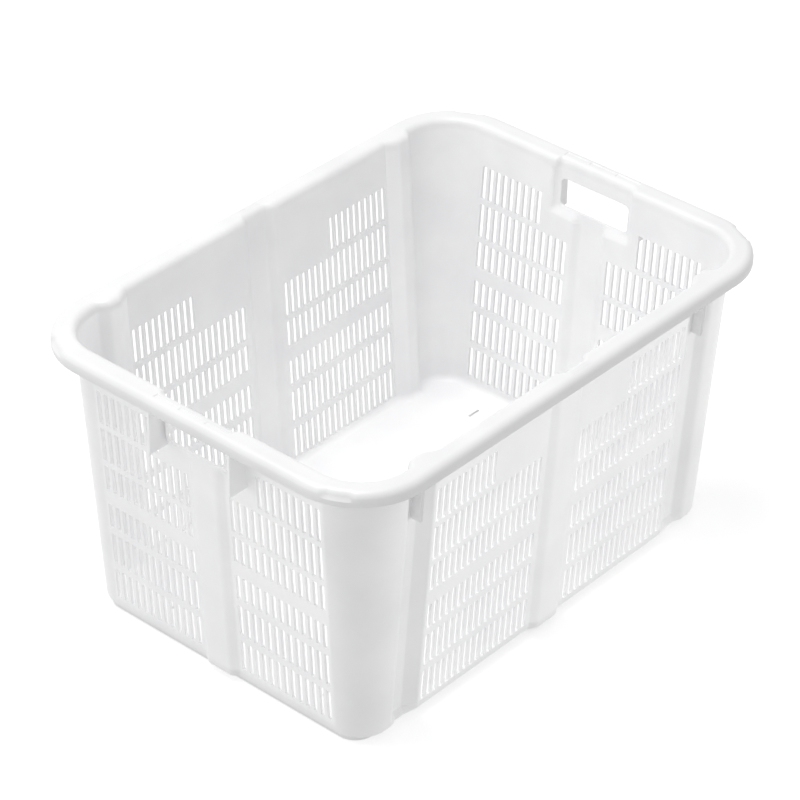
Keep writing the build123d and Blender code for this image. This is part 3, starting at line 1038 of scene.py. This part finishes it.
class BASKET_OT_floor(bpy.types.Operator):
    """Makes the floor pan, rounded up into the walls, with its drain slots"""

    bl_idname = "basket.floor"
    bl_label = "Floor pan"

    def execute(self, context):
        walls, pan = context.scene.basket_walls, context.scene.basket_floor
        under = TRAY_LOW.z
        top = under + pan.thickness

        def path(z, distance, groove=walls.groove_depth):
            return rounded(moved_in(wall_corners(walls, z, column_fold(walls), groove), distance))[0]

        turns = quarter_turns(PAN_STEPS)
        outer, inner = ([all_round(path(walls.start, d), walls.start)] for d in (0, walls.thickness))
        foot = under + pan.base_round
        for angle in turns:
            back = path(foot, pan.base_round * (1 - cos(angle)), pan.groove_foot)
            outer.append(all_round(back, under + pan.base_round * (1 - sin(angle))))
        curb = top + pan.inner_round
        for angle in turns:
            fillet = path(curb, walls.thickness + pan.inner_round * (1 - cos(angle)))
            inner.append(all_round(fillet, top + pan.inner_round * (1 - sin(angle))))
        outer.append(all_round(path(curb, walls.thickness + pan.inner_round + pan.lap), under))
        ring = mesh_of("pan", *sweep(list(zip(*outer, *inner[::-1])), ring=True))
        outline = [p.xy for p in inner[-1]]
        kept = outline[:1]
        for point in outline[1:]:
            if (point - kept[-1]).length > OUTLINE_STEP:
                kept.append(point)
        half = pan.drain_width / 2
        rows = [(-pan.drain_x, 2, y - half, y + half) for y in (-pan.drain_y, pan.drain_y)]
        sizes = (pan.thickness, pan.drain_length, 2 * pan.drain_x, half / 2)
        sheet = plate(context, "floor", kept, rows, *sizes)
        sheet = moved(sheet, lambda p: Vector((p.x, p.y, p.z + under)))
        place(joined([ring, sheet], "pan"), "floor_pan", ["floor_tray"], context)
        return {"FINISHED"}


class BASKET_OT_foot(bpy.types.Operator):
    """Makes the low foot ring that the basket stands on"""

    bl_idname = "basket.foot"
    bl_label = "Foot ring"

    def execute(self, context):
        pan = context.scene.basket_floor
        corners = [
            (FOOT_HIGH.x, 0, 0, 0),
            (FOOT_HIGH.x, FOOT_HIGH.y, pan.foot_corner, CORNER_STEPS),
            (0, FOOT_HIGH.y, 0, 0),
        ]
        path = rounded(corners)
        r, wide = pan.foot_round, pan.foot_width
        top = FOOT_HIGH.z + pan.foot_let_in
        turns = quarter_turns(FOOT_STEPS)
        profile = [(0, top)]
        profile += [(r - r * cos(angle), r - r * sin(angle)) for angle in turns]
        profile += [(wide - r + r * sin(angle), r - r * cos(angle)) for angle in turns]
        profile += [(wide, top)]
        rings = [all_round(inset(path, d), z) for d, z in profile]
        place(mesh_of("foot", *sweep(list(zip(*rings)), ring=True)), "foot", ["foot_ring"], context)
        return {"FINISHED"}


# Half the width of the studio floor, the size of its specks, and the camera's sensor and clipping
FLOOR_HALF = 12.0
SPECK = 0.2
SENSOR_MM = 36.0
CLIP_START, CLIP_END = 0.05, 60.0
LIGHT_AIM = Vector((0, 0, 0.15))
# Starts of the names of the pieces that each group of washes reaches
NEAR_PANELS = ("left_panel", "front_panel", "left_centre", "front_centre", "grip_left")
WASHED = {
    "inside": ("floor_pan",),
    "far_end": ("post_back_right", "right_panel", "right_centre", "grip_right"),
    "thin_walls": NEAR_PANELS,
    "walls": (*NEAR_PANELS, "post_front", "post_back_left", "floor_pan"),
}
# Name, place, size and group of each light. The washes stand in for the light that the thin walls
# let through, so they leave out the rim and its lugs
LIGHTS = (
    ("top_softbox", (-0.30, 0.40, 2.2), (1.2, 1.2), None),
    ("left_wash", (-1.9, 0.9, 0.6), (1.2, 0.8), "walls"),
    ("front_wash", (0.95, -1.9, 0.4), (1.5, 0.6), "walls"),
    ("panel_wash", (-1.5, -1.3, 0.9), (1.0, 1.0), "thin_walls"),
    ("inside_wash", (0.0, 0.0, 1.2), (0.6, 0.4), "inside"),
    ("far_wash", (-1.2, -0.3, 1.0), (0.6, 0.6), "far_end"),
)


def studio_floor(scene):
    """A wide pale floor that glows a little, as a lit table does."""
    ground = bpy.data.materials.new("pale_studio_floor")
    tree = empty_tree(ground)
    spot = node(tree, "ShaderNodeTexCoord").outputs["Object"]
    speck = node(tree, "ShaderNodeTexNoise", {"Vector": spot, "Scale": 1 / SPECK, "Detail": 2.0})
    dull = node(
        tree, "ShaderNodeMapRange", {"Value": speck.outputs["Fac"], "To Min": 0.85, "To Max": 0.95}
    )
    surface = {
        "Base Color": (*scene.basket_finish.ground, 1),
        "Roughness": dull.outputs["Result"],
        "IOR": 1.3,
        "Emission Color": (1, 1, 1, 1),
        "Emission Strength": scene.basket_stage.glow,
    }
    shader = node(tree, "ShaderNodeBsdfPrincipled", surface)
    node(tree, "ShaderNodeOutputMaterial", {"Surface": shader.outputs["BSDF"]})
    mesh = bpy.data.meshes.new("studio_floor")
    mesh.from_pydata([(FLOOR_HALF * x, FLOOR_HALF * y, 0) for x, y in QUARTERS], [], [(0, 1, 2, 3)])
    mesh.materials.append(ground)
    floor = bpy.data.objects.new("studio_floor", mesh)
    scene.collection.objects.link(floor)
    floor.visible_diffuse = False


def studio_sky(scene):
    """Soft light from all round, with a little more from the picture's left."""
    stage = scene.basket_stage
    world = bpy.data.worlds.new("studio_sky")
    tree = empty_tree(world)
    way = node(tree, "ShaderNodeTexCoord").outputs["Generated"]
    left = tuple(-part for part in stage.camera_right)
    toward = node(tree, "ShaderNodeVectorMath", {0: way, 1: left}, operation="DOT_PRODUCT")
    least = {0: toward.outputs["Value"], 1: 0.0}
    share = node(tree, "ShaderNodeMath", least, operation="MAXIMUM").outputs[0]
    lobe = node(tree, "ShaderNodeMath", {0: share, 1: share}, operation="MULTIPLY").outputs[0]
    total = {0: lobe, 1: stage.left_sky, 2: stage.sky}
    light = node(tree, "ShaderNodeMath", total, operation="MULTIPLY_ADD").outputs[0]
    sky = node(tree, "ShaderNodeBackground", {"Color": (1, 1, 1, 1), "Strength": light})
    node(tree, "ShaderNodeOutputWorld", {"Surface": sky.outputs["Background"]})
    scene.world = world


def studio_lights(scene):
    """A softbox above, and the washes on their groups of pieces."""
    washed = {group: bpy.data.collections.new(group) for group in WASHED}
    for group, starts in WASHED.items():
        for piece in scene.collection.objects:
            if piece.name.startswith(starts):
                washed[group].objects.link(piece)
    for name, spot, size, group in LIGHTS:
        lamp = bpy.data.lights.new(name, "AREA")
        lamp.shape = "RECTANGLE"
        lamp.size, lamp.size_y = size
        lamp.energy = getattr(scene.basket_stage, name)
        holder = bpy.data.objects.new(name, lamp)
        holder.location = spot
        holder.rotation_euler = (LIGHT_AIM - holder.location).to_track_quat("-Z", "Y").to_euler()
        holder.light_linking.receiver_collection = washed.get(group)
        scene.collection.objects.link(holder)


def studio_camera(scene):
    """A camera at the viewing angle of the settings."""
    stage = scene.basket_stage
    forward = Vector(stage.camera_forward).normalized()
    right = Vector(stage.camera_right).normalized()
    turned = Matrix((right, right.cross(forward), -forward)).transposed().to_4x4()
    lens = bpy.data.cameras.new("camera")
    lens.sensor_width, lens.lens = SENSOR_MM, stage.lens
    lens.clip_start, lens.clip_end = CLIP_START, CLIP_END
    camera = bpy.data.objects.new("camera", lens)
    camera.matrix_world = Matrix.Translation(stage.camera_place) @ turned
    scene.collection.objects.link(camera)
    scene.camera = camera


class BASKET_OT_stage(bpy.types.Operator):
    """Sets the pale floor, the soft studio light and the camera"""

    bl_idname = "basket.stage"
    bl_label = "Studio stage"

    def execute(self, context):
        for part in (studio_floor, studio_sky, studio_lights, studio_camera):
            part(context.scene)
        context.scene.view_settings.view_transform = "Standard"
        return {"FINISHED"}


OPERATORS = (
    BASKET_OT_panels,
    BASKET_OT_posts,
    BASKET_OT_columns,
    BASKET_OT_rim,
    BASKET_OT_grips,
    BASKET_OT_lugs,
    BASKET_OT_floor,
    BASKET_OT_foot,
    BASKET_OT_stage,
)
GROUPS = {
    "basket_walls": BasketWallSettings,
    "basket_slots": BasketSlotSettings,
    "basket_rim": BasketRimSettings,
    "basket_floor": BasketFloorSettings,
    "basket_finish": BasketFinishSettings,
    "basket_stage": BasketStageSettings,
}


class BASKET_PT_pieces(bpy.types.Panel):
    """Lists the basket's pieces and their settings"""

    bl_idname = "BASKET_PT_pieces"
    bl_label = "Vegetable basket"
    bl_space_type = "VIEW_3D"
    bl_region_type = "UI"
    bl_category = "Basket"

    def draw(self, context):
        for operator in OPERATORS:
            self.layout.operator(operator.bl_idname)
        for name, group in GROUPS.items():
            box = self.layout.box()
            for prop in group.__annotations__:
                box.prop(getattr(context.scene, name), prop)


def register():
    for group in GROUPS.values():
        bpy.utils.register_class(group)
    for name, group in GROUPS.items():
        setattr(bpy.types.Scene, name, PointerProperty(type=group))
    for operator in (*OPERATORS, BASKET_PT_pieces):
        bpy.utils.register_class(operator)


def unregister():
    for operator in (*OPERATORS, BASKET_PT_pieces):
        bpy.utils.unregister_class(operator)
    for name, group in GROUPS.items():
        delattr(bpy.types.Scene, name)
        bpy.utils.unregister_class(group)


def main():
    """Builds every piece in order."""
    register()
    for operator in OPERATORS:
        family, action = operator.bl_idname.split(".")
        getattr(getattr(bpy.ops, family), action)()


if __name__ == "__main__":
    main()
